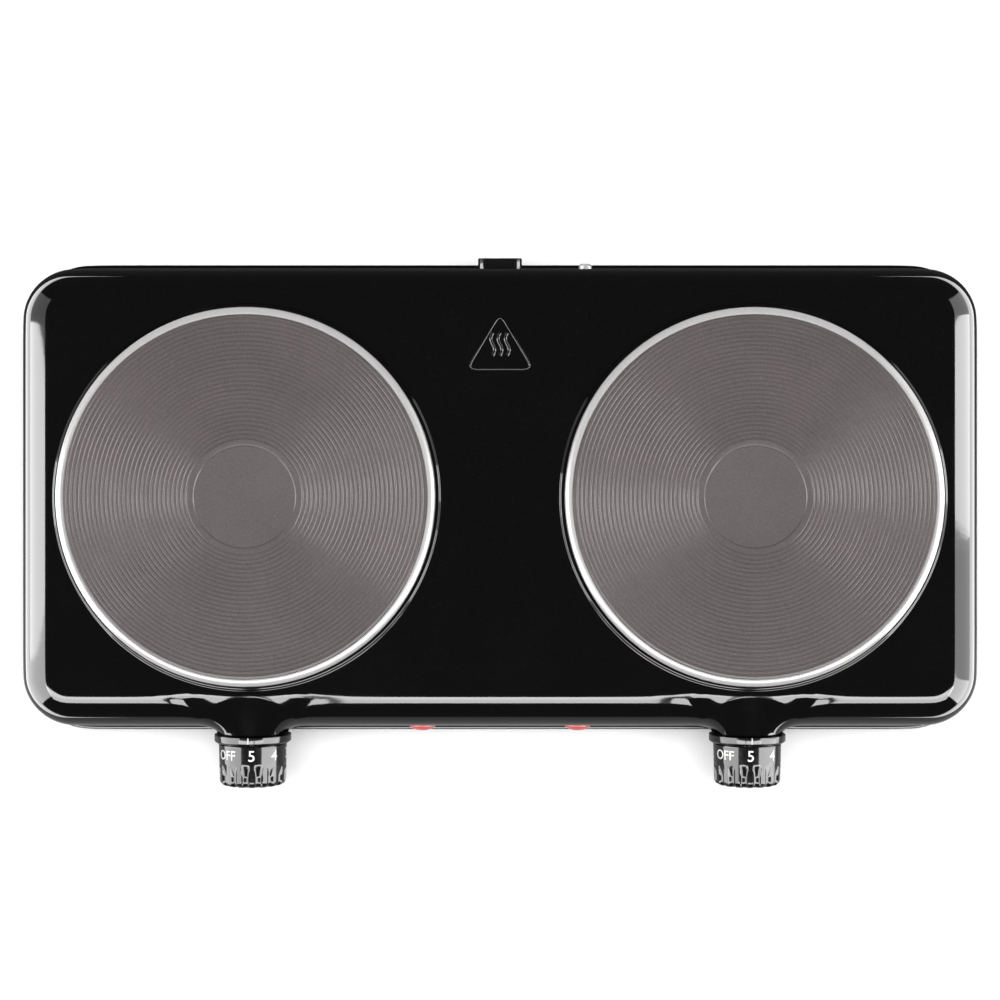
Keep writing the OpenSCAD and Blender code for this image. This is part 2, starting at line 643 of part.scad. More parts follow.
top_shell();
base_plate();
hot_plate(-1);  // left_hot_plate
hot_plate(1);  // right_hot_plate
trim_ring(-1);  // left_trim_ring
trim_ring(1);  // right_trim_ring
heating_coil(-1);  // left_heating_coil
heating_coil(1);  // right_heating_coil
element_cement(-1);  // left_element_cement
element_cement(1);  // right_element_cement
under_cover(-1);  // left_under_cover
under_cover(1);  // right_under_cover
plate_stud(-1);  // left_plate_stud
plate_stud(1);  // right_plate_stud
plate_nuts();
clamp_bar(-1);  // left_clamp_bar
clamp_bar(1);  // right_clamp_bar
heat_shield(-1);  // left_heat_shield
heat_shield(1);  // right_heat_shield
element_terminal(-1);  // left_element_terminal
element_terminal(1);  // right_element_terminal
thermostat_frame(-1);  // left_thermostat_frame
thermostat_frame(1);  // right_thermostat_frame
contact_stack(-1);  // left_contact_stack
contact_stack(1);  // right_contact_stack
contact_blades(-1);  // left_contact_blades
contact_blades(1);  // right_contact_blades
cam_lever(-1, left_turn);  // left_cam_lever
cam_lever(1, right_turn);  // right_cam_lever
control_shaft(-1, left_turn);  // left_control_shaft
control_shaft(1, right_turn);  // right_control_shaft
knob(-1, left_turn);  // left_knob
knob(1, right_turn);  // right_knob
knob_spring(-1, left_turn);  // left_knob_spring
knob_spring(1, right_turn);  // right_knob_spring
bezel(-1);  // left_bezel
bezel(1);  // right_bezel
thermostat_screws();
lamp_lens(-1);  // left_lamp_lens
lamp_lens(1);  // right_lamp_lens
neon_bulb(-1);  // left_neon_bulb
neon_bulb(1);  // right_neon_bulb
lamp_retainers();
cord_gland();
terminal_block();
terminal_screws();
earth_screw();
earth_terminal();
foot(-foot_x, -foot_y);  // front_left_foot
foot(foot_x, -foot_y);  // front_right_foot
foot(-foot_x, foot_y);  // rear_left_foot
foot(foot_x, foot_y);  // rear_right_foot
foot_fasteners();
base_screws();
leads(live_routes);  // live_leads
leads(switched_routes);  // switched_leads
leads(neutral_routes);  // neutral_leads
leads(lamp_routes);  // lamp_leads
leads([earth_route]);  // earth_lead
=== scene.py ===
"""Visible pieces, finishes and studio for a double electric hot plate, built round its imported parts."""

import json
import math
import bmesh
import bpy
from bpy.props import FloatProperty, FloatVectorProperty, IntProperty, PointerProperty
from mathutils import Matrix, Vector


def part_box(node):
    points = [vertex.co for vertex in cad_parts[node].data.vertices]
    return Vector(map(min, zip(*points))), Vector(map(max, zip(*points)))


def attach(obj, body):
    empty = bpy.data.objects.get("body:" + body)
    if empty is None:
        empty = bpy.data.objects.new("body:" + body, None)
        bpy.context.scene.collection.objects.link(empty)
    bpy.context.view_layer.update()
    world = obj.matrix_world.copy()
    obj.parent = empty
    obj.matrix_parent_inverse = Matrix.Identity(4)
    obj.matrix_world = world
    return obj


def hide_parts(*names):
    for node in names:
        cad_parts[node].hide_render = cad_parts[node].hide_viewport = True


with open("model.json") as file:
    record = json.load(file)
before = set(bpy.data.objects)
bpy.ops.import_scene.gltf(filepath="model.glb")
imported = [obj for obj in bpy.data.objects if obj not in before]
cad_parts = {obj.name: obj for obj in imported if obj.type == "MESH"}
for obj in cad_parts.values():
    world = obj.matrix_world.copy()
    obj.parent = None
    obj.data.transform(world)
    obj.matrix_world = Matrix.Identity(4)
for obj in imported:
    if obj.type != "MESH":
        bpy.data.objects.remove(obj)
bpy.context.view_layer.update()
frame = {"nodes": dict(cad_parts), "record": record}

bl_info = {
    "name": "Double hot plate",
    "version": (1, 0, 0),
    "blender": (4, 5, 0),
    "location": "View3D > Sidebar > Hot plate",
    "description": "Builds the visible pieces of a double electric hot plate and its studio",
    "category": "Object",
}

MM = 0.001
SIDES = {"left": -1, "right": 1}


def middle_of(node):
    """Centre of a node's box at rest."""
    low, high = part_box(node)
    return (Vector(low) + Vector(high)) / 2


def size_of(node):
    """Size of a node's box at rest."""
    low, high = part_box(node)
    return Vector(high) - Vector(low)


# Places that the frame gives
MIDDLE_Y = middle_of("base_plate").y
PLATE_AT = {side: middle_of(f"{side}_hot_plate") for side in SIDES}
PLATE_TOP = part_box("left_hot_plate")[1][2]
RING_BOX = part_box("left_trim_ring")
DIAL_AT = {side: middle_of(f"{side}_bezel") for side in SIDES}
BEZEL_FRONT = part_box("left_bezel")[0][1]
KNOB_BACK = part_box("right_knob")[1][1]
KNOB_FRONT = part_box("right_knob")[0][1]
LAMP_AT = {side: middle_of(f"{side}_lamp_lens") for side in SIDES}
SHELL_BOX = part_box("top_shell")
DIAL_Z = middle_of("right_knob").z
BEZEL_BACK = BEZEL_FRONT + 4.5 * MM
LAMP_Z = 27 * MM
GLAND_Z = 26 * MM

# How far the roll already leans where it leaves the panel, and what that adds to its radius
FIRST_BEND = math.radians(3.3)
EXTRA_ROLL = 1 * MM

DIAL_STEPS = 256
DIAL_RADIUS = 17.2 * MM
DIAL_TAPER = 0.024
FLAT_FACE = 11.6 * MM
PRINT_STRIP = 0.55 * MM
TOUCHING = 0.01 * MM

FINISH = {}


def length(name, description, millimetres, **extra):
    """A length property, with its default in millimetres."""
    return FloatProperty(
        name=name, description=description, default=millimetres * MM, unit="LENGTH", precision=4, **extra
    )


def angle(name, description, degrees):
    """An angle property, with its default in degrees."""
    return FloatProperty(
        name=name, description=description, default=math.radians(degrees), subtype="ANGLE"
    )


def colour(name, description, value):
    """A colour property."""
    return FloatVectorProperty(
        name=name, description=description, default=value, subtype="COLOR", min=0, max=1
    )


class HousingSizes(bpy.types.PropertyGroup):
    """Sizes of the pressed housing."""

    top_z: length("Top height", "Height of the flat top panel", 62)
    corner_reach: length("Corner radius", "Plan radius of the flat top's corners", 10)
    roll: length("Edge roll", "Radius that rolls the top over into the skirt", 16.5)
    draft: angle("Skirt lean", "Lean of the skirt from upright", 7.2)
    hem_top: length("Hem top", "Height at which the skirt turns out into its hem", 12.8)
    hem_out: length("Hem width", "How far the hem stands beyond the skirt", 1.8)
    sheet: length("Sheet", "Thickness of the pressed steel", 0.8)
    seat_radius: length("Seat radius", "Foot radius of the raised seat round each plate", 96.6)
    seat_rise: length("Seat rise", "Height of the raised seats above the panel", 1.2)
    neck_radius: length("Neck radius", "Radius of the neck behind each dial", 18)
    flare_side: length("Flare reach", "How far a neck's flare reaches sideways from the dial axis", 27)
    flare_down: length("Flare drop", "How far a neck's flare reaches below the dial axis", 21.2)


class PlateSizes(bpy.types.PropertyGroup):
    """Sizes of the cast-iron plates and their rims."""

    groove_first: length("First groove", "Radius of the innermost groove", 28.8)
    groove_pitch: length("Groove pitch", "Distance between grooves", 2.19)
    groove_depth: length("Groove depth", "Depth of each groove", 0.23)
    grooves: IntProperty(name="Grooves", description="Number of turned grooves", default=28)
    recess: length("Recess radius", "Radius of the smooth middle", 25.1)


class DialSizes(bpy.types.PropertyGroup):
    """Sizes of the dials."""

    flutes: IntProperty(name="Flutes", description="Number of finger flutes", default=16)
    flute_start: length("Flute start", "Distance of the flutes from the back edge", 9.3)
    flute_depth: length("Flute depth", "Depth of each flute", 1.5)
    digit_height: length("Digit height", "Height of the printed digits", 5.6)
    digit_line: length("Digit line", "Distance of the digits' middle from the back edge", 4.6)
    left_turn: angle("Left turn", "Rest turn of the left dial, from its 5 mark", -5)
    right_turn: angle("Right turn", "Rest turn of the right dial, from its 5 mark", 1)


class Finishes(bpy.types.PropertyGroup):
    """Base colours of the main finishes."""

    enamel: colour("Enamel", "Gloss enamel of the housing", (0.0014, 0.0014, 0.0015))
    iron: colour("Cast iron", "Coated face of the plates", (0.07, 0.0585, 0.06))
    plastic: colour("Plastic", "Gloss plastic of dials and gland", (0.0025, 0.0025, 0.0028))
    lens: colour("Lens", "Clear red of the pilot lamps", (0.75, 0.012, 0.01))
    floor: colour("Floor", "Matt paper that the cooker stands on", (0.92, 0.92, 0.92))


class Studio(bpy.types.PropertyGroup):
    """Camera and lights."""

    camera_height: length("Camera height", "Height of the camera above the floor", 1000)
    lens: FloatProperty(name="Lens", description="Focal length in millimetres", default=67.9)
    key_power: FloatProperty(name="Key", description="Power of the soft key light in watts", default=48)
    box_power: FloatProperty(name="Side boxes", description="Radiance of the side boxes", default=14)


# ---------------------------------------------------------------- modelling helpers


def fresh():
    """Back to object mode with nothing selected."""
    if bpy.context.object and bpy.context.object.mode != "OBJECT":
        bpy.ops.object.mode_set(mode="OBJECT")
    bpy.ops.object.select_all(action="DESELECT")


def only(piece):
    """Selects one piece and makes it active."""
    fresh()
    piece.select_set(True)
    bpy.context.view_layer.objects.active = piece


def apply_place():
    """Moves the active piece's place, turn and size into its mesh."""
    bpy.ops.object.transform_apply(location=True, rotation=True, scale=True)


def named(name):
    """Names the piece that was just added."""
    piece = bpy.context.object
    piece.name = piece.data.name = name
    return piece


def edit():
    """Edit mode on the active piece, in vertex select mode, with everything selected."""
    bpy.ops.object.mode_set(mode="EDIT")
    bpy.context.tool_settings.mesh_select_mode = (True, False, False)
    bpy.ops.mesh.select_all(action="SELECT")


def select_where(piece, kind, test):
    """In edit mode, selects just the edges or faces that pass a test."""
    bpy.ops.mesh.select_all(action="DESELECT")
    bpy.ops.mesh.select_mode(type=kind)
    mesh = bmesh.from_edit_mesh(piece.data)
    for part in mesh.edges if kind == "EDGE" else mesh.faces:
        part.select_set(test(part))
    mesh.select_flush_mode()
    bmesh.update_edit_mesh(piece.data)


def place_selected(piece, place):
    """Puts each selected vertex where place says."""
    mesh = bmesh.from_edit_mesh(piece.data)
    for vertex in mesh.verts:
        if vertex.select:
            vertex.co = place(vertex.co)
    bmesh.update_edit_mesh(piece.data)


def extrude_loop(piece, place):
    """Extrudes the selected edges and puts each new vertex where place says."""
    bpy.ops.mesh.extrude_edges_move(TRANSFORM_OT_translate={"value": (0, 0, 0)})
    place_selected(piece, place)


def tidy_edit():
    """Merges doubles, points the faces outwards and leaves edit mode."""
    bpy.ops.mesh.select_all(action="SELECT")
    bpy.ops.mesh.remove_doubles(threshold=TOUCHING)
    bpy.ops.mesh.normals_make_consistent(inside=False)
    bpy.ops.object.mode_set(mode="OBJECT")


def modify(piece, kind, **settings):
    """Adds a modifier and applies it."""
    only(piece)
    bpy.ops.object.modifier_add(type=kind)
    modifier = piece.modifiers[-1]
    for key, value in settings.items():
        setattr(modifier, key, value)
    bpy.ops.object.modifier_apply(modifier=modifier.name)


def chained(name, points):
    """A chain of edges through the points, drawn from one vertex and left in edit mode."""
    fresh()
    bpy.ops.mesh.primitive_plane_add(size=MM, location=points[0])
    piece = named(name)
    edit()
    bpy.ops.mesh.merge(type="CENTER")
    for here, there in zip(points, points[1:]):
        bpy.ops.mesh.extrude_vertices_move(TRANSFORM_OT_translate={"value": there - here})
    return piece


def turned(name, origin, axis, section, steps=96):
    """A turned piece: its section, points of (radius, height) in millimetres, drawn and spun."""
    axis = Vector(axis).normalized()
    out = axis.orthogonal().normalized()
    origin = Vector(origin)
    piece = chained(name, [origin + out * radius * MM + axis * height * MM for radius, height in section])
    bpy.ops.mesh.select_all(action="SELECT")
    bpy.ops.mesh.spin(steps=steps, angle=math.tau, center=origin, axis=axis)
    tidy_edit()
    apply_place()
    return piece


def quarter(centre, radii, start, end, steps):
    """Points of an arc in a section, angles in degrees from the outward radius."""
    return [
        (
            centre[0] + radii[0] * math.cos(math.radians(start + (end - start) * i / steps)),
            centre[1] + radii[1] * math.sin(math.radians(start + (end - start) * i / steps)),
        )
        for i in range(steps + 1)
    ]


def drawn_line(name, points, closed=False):
    """A chain of edges through the points, its ends merged if it is closed."""
    piece = chained(name, points)
    if closed:
        bpy.ops.mesh.select_all(action="SELECT")
        bpy.ops.mesh.remove_doubles(threshold=TOUCHING)
    bpy.ops.object.mode_set(mode="OBJECT")
    return piece


def beaded(piece, radius):
    """Turns a chain of edges into a round bead."""
    only(piece)
    bpy.ops.object.convert(target="CURVE")
    piece = bpy.context.object
    piece.data.bevel_depth = radius
    piece.data.bevel_resolution = 3
    piece.data.use_fill_caps = True
    bpy.ops.object.convert(target="MESH")
    piece = bpy.context.object
    only(piece)
    apply_place()
    edit()
    tidy_edit()
    return piece


def joined(name, pieces):
    """Joins pieces into one."""
    fresh()
    for piece in pieces:
        piece.select_set(True)
    bpy.context.view_layer.objects.active = pieces[0]
    if len(pieces) > 1:
        bpy.ops.object.join()
    return named(name)


def settled(piece, body, slot, finish=None, smooth=35):
    """Applies the piece's place, smooths it, and gives it its finish, picked by slot when no finish is given,
    and its body.
    """
    only(piece)
    apply_place()
    bpy.ops.object.shade_smooth_by_angle(angle=math.radians(smooth))
    piece.data.materials.clear()
    piece.data.materials.append(FINISH[finish or slot])
    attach(piece, body)
    return piece


# ---------------------------------------------------------------- finishes


class Recipe:
    """A material's nodes, built up a step at a time."""

    def __init__(self, name, base, roughness, metallic=0.0, **sockets):
        self.material = bpy.data.materials.new(name)
        self.material.use_nodes = True
        self.tree = self.material.node_tree
        self.shader = self.tree.nodes["Principled BSDF"]
        self.shader.inputs["Base Color"].default_value = (*base, 1)
        self.shader.inputs["Roughness"].default_value = roughness
        self.shader.inputs["Metallic"].default_value = metallic
        for key, value in sockets.items():
            self.shader.inputs[key.replace("_", " ").title().replace("Ior", "IOR")].default_value = value
        self.base = base
        self.place = self.node("ShaderNodeTexCoord").outputs["Object"]

    def node(self, kind, **settings):
        made = self.tree.nodes.new(kind)
        for key, value in settings.items():
            setattr(made, key, value)
        return made

    def link(self, start, end):
        self.tree.links.new(start, end)

    def mapped(self, scale=(1, 1, 1), centre=(0, 0, 0)):
        """Object coordinates moved so that centre is their origin, then scaled."""
        mapping = self.node("ShaderNodeMapping")
        mapping.inputs["Scale"].default_value = scale
        mapping.inputs["Location"].default_value = [-c * s for c, s in zip(centre, scale)]
        self.link(self.place, mapping.inputs["Vector"])
        return mapping.outputs["Vector"]

    def noise(self, scale, detail=4.0, rough=0.5, where=None):
        noise = self.node("ShaderNodeTexNoise")
        noise.inputs["Scale"].default_value = scale
        noise.inputs["Detail"].default_value = detail
        noise.inputs["Roughness"].default_value = rough
        self.link(where or self.place, noise.inputs["Vector"])
        return noise.outputs["Fac"]

    def spread(self, value, low, high, start=0.35, end=0.65):
        """The value's range start..end stretched to low..high."""
        spread = self.node("ShaderNodeMapRange")
        for socket, number in zip(("From Min", "From Max", "To Min", "To Max"), (start, end, low, high)):
            spread.inputs[socket].default_value = number
        self.link(value, spread.inputs["Value"])
        return spread.outputs["Result"]

    def sum(self, first, second, operation="ADD"):
        maths = self.node("ShaderNodeMath", operation=operation)
        for socket, value in zip(maths.inputs, (first, second)):
            if isinstance(value, (int, float)):
                socket.default_value = value
            else:
                self.link(value, socket)
        return maths.outputs[0]

    def tinted(self, value, other):
        """Base colour runs to another colour as value goes from 0 to 1."""
        mix = self.node("ShaderNodeMix", data_type="RGBA")
        colours = [s for s in mix.inputs if s.type == "RGBA"]
        colours[0].default_value = (*self.base, 1)
        colours[1].default_value = (*other, 1)
        self.link(value, mix.inputs["Factor"])
        result = [s for s in mix.outputs if s.type == "RGBA"][0]
        self.link(result, self.shader.inputs["Base Color"])
        return self

    def dulled(self, value):
        self.link(value, self.shader.inputs["Roughness"])
        return self

    def bumped(self, value, distance, strength=1.0):
        bump = self.node("ShaderNodeBump")
        bump.inputs["Distance"].default_value = distance
        bump.inputs["Strength"].default_value = strength
        self.link(value, bump.inputs["Height"])
        self.link(bump.outputs["Normal"], self.shader.inputs["Normal"])
        return self


def scaled(value, factor):
    """A colour made lighter or darker."""
    return tuple(min(1.0, c * factor) for c in value)


def enamel_finish():
    """Deep gloss enamel: faint ripple of the fired coat, a few pinhole specks and finger haze."""
    recipe = Recipe("gloss_enamel", bpy.context.scene.finishes.enamel, 0.05, IOR=1.52)
    recipe.dulled(recipe.spread(recipe.noise(22, 6, 0.6), 0.035, 0.085))
    recipe.tinted(recipe.spread(recipe.noise(900, 2), 0, 1, 0.62, 0.7), (0.004, 0.004, 0.0042))
    return recipe.bumped(recipe.noise(260, 2, 0.4), 0.02 * MM, 0.35).material


def iron_finish(side):
    """Coated cast iron: fine pepper grain, faint blotches and the lathe's close rings."""
    base = bpy.context.scene.finishes.iron
    recipe = Recipe(f"cast_iron_{side}", base, 0.27, 0, specular_ior_level=0.36)
    centred = recipe.mapped(centre=PLATE_AT[side])
    flat = recipe.node("ShaderNodeVectorMath", operation="MULTIPLY")
    flat.inputs[1].default_value = (1, 1, 0)
    recipe.link(centred, flat.inputs[0])
    distance = recipe.node("ShaderNodeVectorMath", operation="LENGTH")
    recipe.link(flat.outputs["Vector"], distance.inputs[0])
    rings = recipe.sum(recipe.sum(distance.outputs["Value"], 11000, "MULTIPLY"), 0, "SINE")
    grain = recipe.noise(2600, 3, 0.7)
    blotch = recipe.noise(38, 3, 0.5)
    recipe.tinted(
        recipe.sum(recipe.spread(grain, 0, 0.6), recipe.spread(blotch, 0, 0.4)), scaled(base, 1.28)
    )
    recipe.dulled(recipe.spread(grain, 0.23, 0.31))
    height = recipe.sum(recipe.sum(rings, 0.16, "MULTIPLY"), grain)
    return recipe.bumped(height, 0.02 * MM, 0.8).material


def polished_steel():
    """Polished stainless with faint rubbed streaks."""
    recipe = Recipe("polished_stainless", (0.44, 0.43, 0.43), 0.24, 0.12)
    recipe.dulled(recipe.spread(recipe.noise(90, 6, 0.7), 0.22, 0.26))
    recipe.tinted(recipe.spread(recipe.noise(600, 3), 0, 0.5), (0.4, 0.39, 0.39))
    return recipe.bumped(recipe.noise(1500, 3), 0.004 * MM, 0.2).material


def plated_steel(name, base, roughness):
    """Zinc-plated or bare pressed steel with spangle and dull patches."""
    recipe = Recipe(name, base, roughness, 1.0)
    recipe.tinted(recipe.spread(recipe.noise(140, 5, 0.65), 0, 1), scaled(base, 0.72))
    recipe.dulled(recipe.spread(recipe.noise(260, 4), roughness * 0.75, roughness * 1.35))
    return recipe.bumped(recipe.noise(1200, 3), 0.03 * MM, 0.4).material


def gloss_plastic():
    """Moulded gloss plastic with slight flow ripple and fine handling marks."""
    recipe = Recipe("gloss_plastic", bpy.context.scene.finishes.plastic, 0.1, IOR=1.5)
    recipe.dulled(recipe.spread(recipe.noise(160, 6, 0.7), 0.08, 0.12))
    recipe.tinted(recipe.spread(recipe.noise(700, 2), 0, 0.6), (0.005, 0.005, 0.0055))
    return recipe.bumped(recipe.noise(420, 3), 0.01 * MM, 0.2).material


def red_lens():
    """Clear red moulding."""
    base = bpy.context.scene.finishes.lens
    recipe = Recipe("red_lens", base, 0.06, transmission_weight=0.35, IOR=1.49)
    recipe.shader.inputs["Emission Color"].default_value = (0.55, 0.32, 0.3, 1)
    recipe.shader.inputs["Emission Strength"].default_value = 0.25
    recipe.tinted(recipe.spread(recipe.noise(400, 2), 0, 0.5), scaled(base, 0.7))
    return recipe.bumped(recipe.noise(900, 2), 0.02 * MM, 0.3).material


def matt(name, base, roughness, grain=1200, depth=0.05, other=0.75, metallic=0.0):
    """Matt stuff with a grain of its own: ceramic, rubber, print, wire or cement."""
    recipe = Recipe(name, base, roughness, metallic)
    recipe.tinted(recipe.spread(recipe.noise(grain / 6, 5, 0.6), 0, 1), scaled(base, other))
    recipe.dulled(recipe.spread(recipe.noise(grain, 3), roughness * 0.85, min(1, roughness * 1.15)))
    return recipe.bumped(recipe.noise(grain, 4, 0.6), depth * MM, 0.6).material


def all_finishes():
    """Makes each finish once."""
    FINISH.update(
        enamel=enamel_finish(),
        stainless=polished_steel(),
        zinc_steel=plated_steel("zinc_plate", (0.58, 0.59, 0.6), 0.3),
        base_steel=matt("base_paint", (0.035, 0.035, 0.037), 0.45, 1500, 0.03),
        brass=plated_steel("brass", (0.72, 0.52, 0.24), 0.28),
        gloss_black_plastic=gloss_plastic(),
        red_lens=red_lens(),
        ceramic=matt("glazed_ceramic", (0.72, 0.69, 0.6), 0.25, 800, 0.02, 0.9),
        insulation=matt("pressed_cement", (0.68, 0.65, 0.58), 0.9, 1600, 0.15),
        resistance_wire=matt("heating_wire", (0.25, 0.21, 0.18), 0.5, 2000, 0.03, 0.6, 1.0),
        phenolic=matt("brown_moulding", (0.16, 0.075, 0.035), 0.4, 900, 0.03),
        neon_glass=matt("bulb_glass", (0.85, 0.5, 0.35), 0.08, 500, 0.005, 0.9),
        foot_rubber=matt("rubber", (0.016, 0.016, 0.016), 0.65, 1400, 0.08, 1.6),
        live_insulation=matt("brown_silicone", (0.3, 0.1, 0.045), 0.5, 900, 0.03),
        neutral_insulation=matt("blue_silicone", (0.05, 0.12, 0.42), 0.5, 900, 0.03),
        earth_insulation=matt("green_silicone", (0.16, 0.46, 0.08), 0.5, 900, 0.03),
        print_white=matt("white_print", (0.78, 0.78, 0.77), 0.5, 2600, 0.01, 0.9),
    )
    for side in SIDES:
        FINISH[f"iron_{side}"] = iron_finish(side)


# ---------------------------------------------------------------- pieces


class Housing:
    """The housing's section, measured outwards from its corner centres."""

    def __init__(self, sizes):
        self.sizes = sizes
        self.bend = FIRST_BEND
        self.radius = sizes.roll + EXTRA_ROLL
        self.arc = math.pi / 2 - sizes.draft
        self.foot_reach, self.foot_z = self.rolled(self.arc)
        self.hem_z = SHELL_BOX[0][2]
        self.hem_reach = self.reach(sizes.hem_top) + sizes.hem_out
        self.core_x = SHELL_BOX[1][0] - self.hem_reach
        self.core_y = SHELL_BOX[1][1] - MIDDLE_Y - self.hem_reach

    def reach(self, z):
        """How far the outer face stands out at a height."""
        if z <= self.foot_z:
            return self.foot_reach + (self.foot_z - z) * math.tan(self.sizes.draft)
        level = min(1, math.cos(self.bend) - (self.sizes.top_z - z) / self.radius)
        return self.rolled(max(self.bend, math.acos(level)))[0]

    def rolled(self, turn):
        """Reach and height of the roll where it leans by turn."""
        reach = self.sizes.corner_reach + self.radius * (math.sin(turn) - math.sin(self.bend))
        return reach, self.sizes.top_z - self.radius * (math.cos(self.bend) - math.cos(turn))

    def outwards(self, at):
        """The nearest point of the core rectangle, and the direction out from it."""
        core = Vector(
            (
                min(max(at.x, -self.core_x), self.core_x),
                MIDDLE_Y + min(max(at.y - MIDDLE_Y, -self.core_y), self.core_y),
            )
        )
        return core, (at.xy - core).normalized()

    def ring(self, reach, z):
        """Moves a loop's vertices straight in or out to a reach and height."""

        def place(at):
            core, out = self.outwards(at)
            return Vector((*(core + out * reach), z))

        return place


def spaced(start, end, count):
    return [start + (end - start) * i / (count - 1) for i in range(count)]


class HOTPLATE_OT_housing(bpy.types.Operator):
    """Pressed housing: a loop drawn round the top panel, extruded over the roll and down the skirt"""

    bl_idname = "hotplate.housing"
    bl_label = "Housing"

    block_half_width = 30 * MM
    block_low, block_high = 15 * MM, 61.99 * MM

    def first_loop(self, form):
        """Round the panel's edge, with columns set for the necks at the front."""
        neck = [step * 6 * MM for step in range(-5, 6)]
        plate_x = PLATE_AT["right"].x
        front = [-0.190, -0.173] + [-plate_x + step for step in neck] + spaced(-0.075, 0.075, 7)
        front += [plate_x + step for step in neck] + [0.173, 0.190]
        rear = spaced(0.19, -0.19, 17)
        side = spaced(-0.066, 0.066, 7)
        reach = 9.2 * MM
        points = [(x, -form.core_y - reach) for x in front]
        points += self.corner(form, 1, -1, reach)
        points += [(form.core_x + reach, y) for y in side]
        points += self.corner(form, 1, 1, reach)
        points += [(x, form.core_y + reach) for x in rear]
        points += self.corner(form, -1, 1, reach)
        points += [(-form.core_x - reach, -y) for y in side]
        points += self.corner(form, -1, -1, reach)
        return [Vector((x, y + MIDDLE_Y, form.sizes.top_z)) for x, y in points]

    def corner(self, form, across, back, reach):
        """Nine points round one corner, anticlockwise seen from above."""
        start = {(1, -1): -90, (1, 1): 0, (-1, 1): 90, (-1, -1): 180}[across, back]
        turns = [math.radians(start + 11.25 * step) for step in range(9)]
        return [
            (across * form.core_x + reach * math.cos(t), back * form.core_y + reach * math.sin(t))
            for t in turns
        ]

    def execute(self, context):
        sizes = context.scene.housing_sizes
        form = Housing(sizes)
        points = self.first_loop(form)
        fresh()
        bpy.ops.mesh.primitive_circle_add(vertices=len(points), radius=0.2, fill_type="NOTHING")
        shell = named("housing_shell")
        edit()
        mesh = bmesh.from_edit_mesh(shell.data)
        mesh.verts.ensure_lookup_table()
        for vertex, point in zip(mesh.verts, points):
            vertex.co = point
        bmesh.update_edit_mesh(shell.data)
        steps = 12
        rows = [form.rolled(form.bend + (form.arc - form.bend) * i / steps) for i in range(steps + 1)]
        for z in (0.043, 0.038, 0.031, 0.023, 0.015):
            rows.append((form.reach(z), z))
        top, edge = sizes.hem_top, form.hem_reach
        wall = form.reach(top)
        rows += [(wall, top), (wall + 0.1 * MM, top - 0.5 * MM), (wall + 0.35 * MM, top - 0.74 * MM)]
        rows += [(edge - 0.5 * MM, top - 0.88 * MM), (edge - 0.2 * MM, top - 0.98 * MM)]
        rows += [(edge - 0.02 * MM, top - 1.35 * MM), (edge, top - 2.2 * MM), (edge, form.hem_z)]
        for reach, z in rows:
            extrude_loop(shell, form.ring(reach, z))
        for side in SIDES:
            self.seat(shell, sizes, side)
        self.fill_panel(shell, form)
        for side in SIDES:
            self.neck(shell, form, side)
        tidy_edit()
        modify(shell, "SUBSURF", levels=1, render_levels=1)
        modify(shell, "SOLIDIFY", thickness=sizes.sheet, offset=-1)
        settled(shell, "housing", "enamel", smooth=50)
        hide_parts("top_shell")
        return {"FINISHED"}

    def seat(self, shell, sizes, side):
        """Raised seat round a plate: a circle on the panel, extruded up and in to the opening."""
        centre = PLATE_AT[side]
        bpy.ops.mesh.select_all(action="DESELECT")
        bpy.ops.mesh.primitive_circle_add(
            vertices=96, radius=sizes.seat_radius + 0.4 * MM, location=(centre.x, centre.y, sizes.top_z)
        )
        foot, rise = sizes.seat_radius, sizes.seat_rise
        section = [(foot, 0), (foot - 0.2 * MM, 0.08), (foot - 0.6 * MM, 0.86), (foot - 0.9 * MM, 0.98)]
        section += [(foot - 1.5 * MM, 1), (92.2 * MM, 1), (91.6 * MM, 0.9), (91.5 * MM, 0.2)]
        for radius, share in section:

            def place(at, radius=radius, share=share):
                out = (at.xy - centre.xy).normalized() * radius
                return Vector((*(centre.xy + out), sizes.top_z + rise * share))

            extrude_loop(shell, place)

    def fill_panel(self, shell, form):
        """Fills the flat panel between its edge and the two seats."""
        top = form.sizes.top_z

        def open_and_flat(edge):
            flat = all(abs(v.co.z - top) < TOUCHING for v in edge.verts)
            return flat and len(edge.link_faces) == 1

        select_where(shell, "EDGE", open_and_flat)
        bpy.ops.mesh.fill(use_beauty=True)

    def neck(self, shell, form, side):
        """Neck behind a dial: a block of wall faces is cut out and its edge drawn out to the dial."""
        axis = DIAL_AT[side]
        wide = self.block_half_width
        low, high = self.block_low, self.block_high

        def in_block(at):
            return abs(at.x - axis.x) < wide and low < at.z < high and at.y < MIDDLE_Y - form.core_y

        select_where(shell, "FACE", lambda face: in_block(face.calc_center_median()))
        bpy.ops.mesh.delete(type="FACE")
        edge_room = 0.2 * MM

        def on_cut(edge):
            if len(edge.link_faces) != 1:
                return False
            at = (edge.verts[0].co + edge.verts[1].co) / 2
            rim = MIDDLE_Y - form.core_y - form.sizes.corner_reach + edge_room
            near = abs(at.x - axis.x) < wide + edge_room and at.y < rim
            return near and low - edge_room < at.z < high + edge_room

        select_where(shell, "EDGE", on_cut)
        bpy.ops.mesh.select_mode(type="VERT")
        end_y = BEZEL_BACK
        radius = form.sizes.neck_radius
        flare_up, flare_down = form.sizes.top_z - DIAL_Z, form.sizes.flare_down
        fillet_end, fillet_rise = 0.92, 0.85

        def flare_at(turn):
            """Reach of the flare's foot on the wall: nearly square above, an ellipse below."""
            across, up = abs(math.cos(turn)) / form.sizes.flare_side, abs(math.sin(turn))
            if math.sin(turn) < 0:
                return 1 / math.hypot(across, up / flare_down)
            return (across**4 + (up / flare_up) ** 4) ** -0.25

        def ring_at(step, end_radius=radius):
            """A ring partway along: a hollow fillet at the sides, a straight slope on top."""

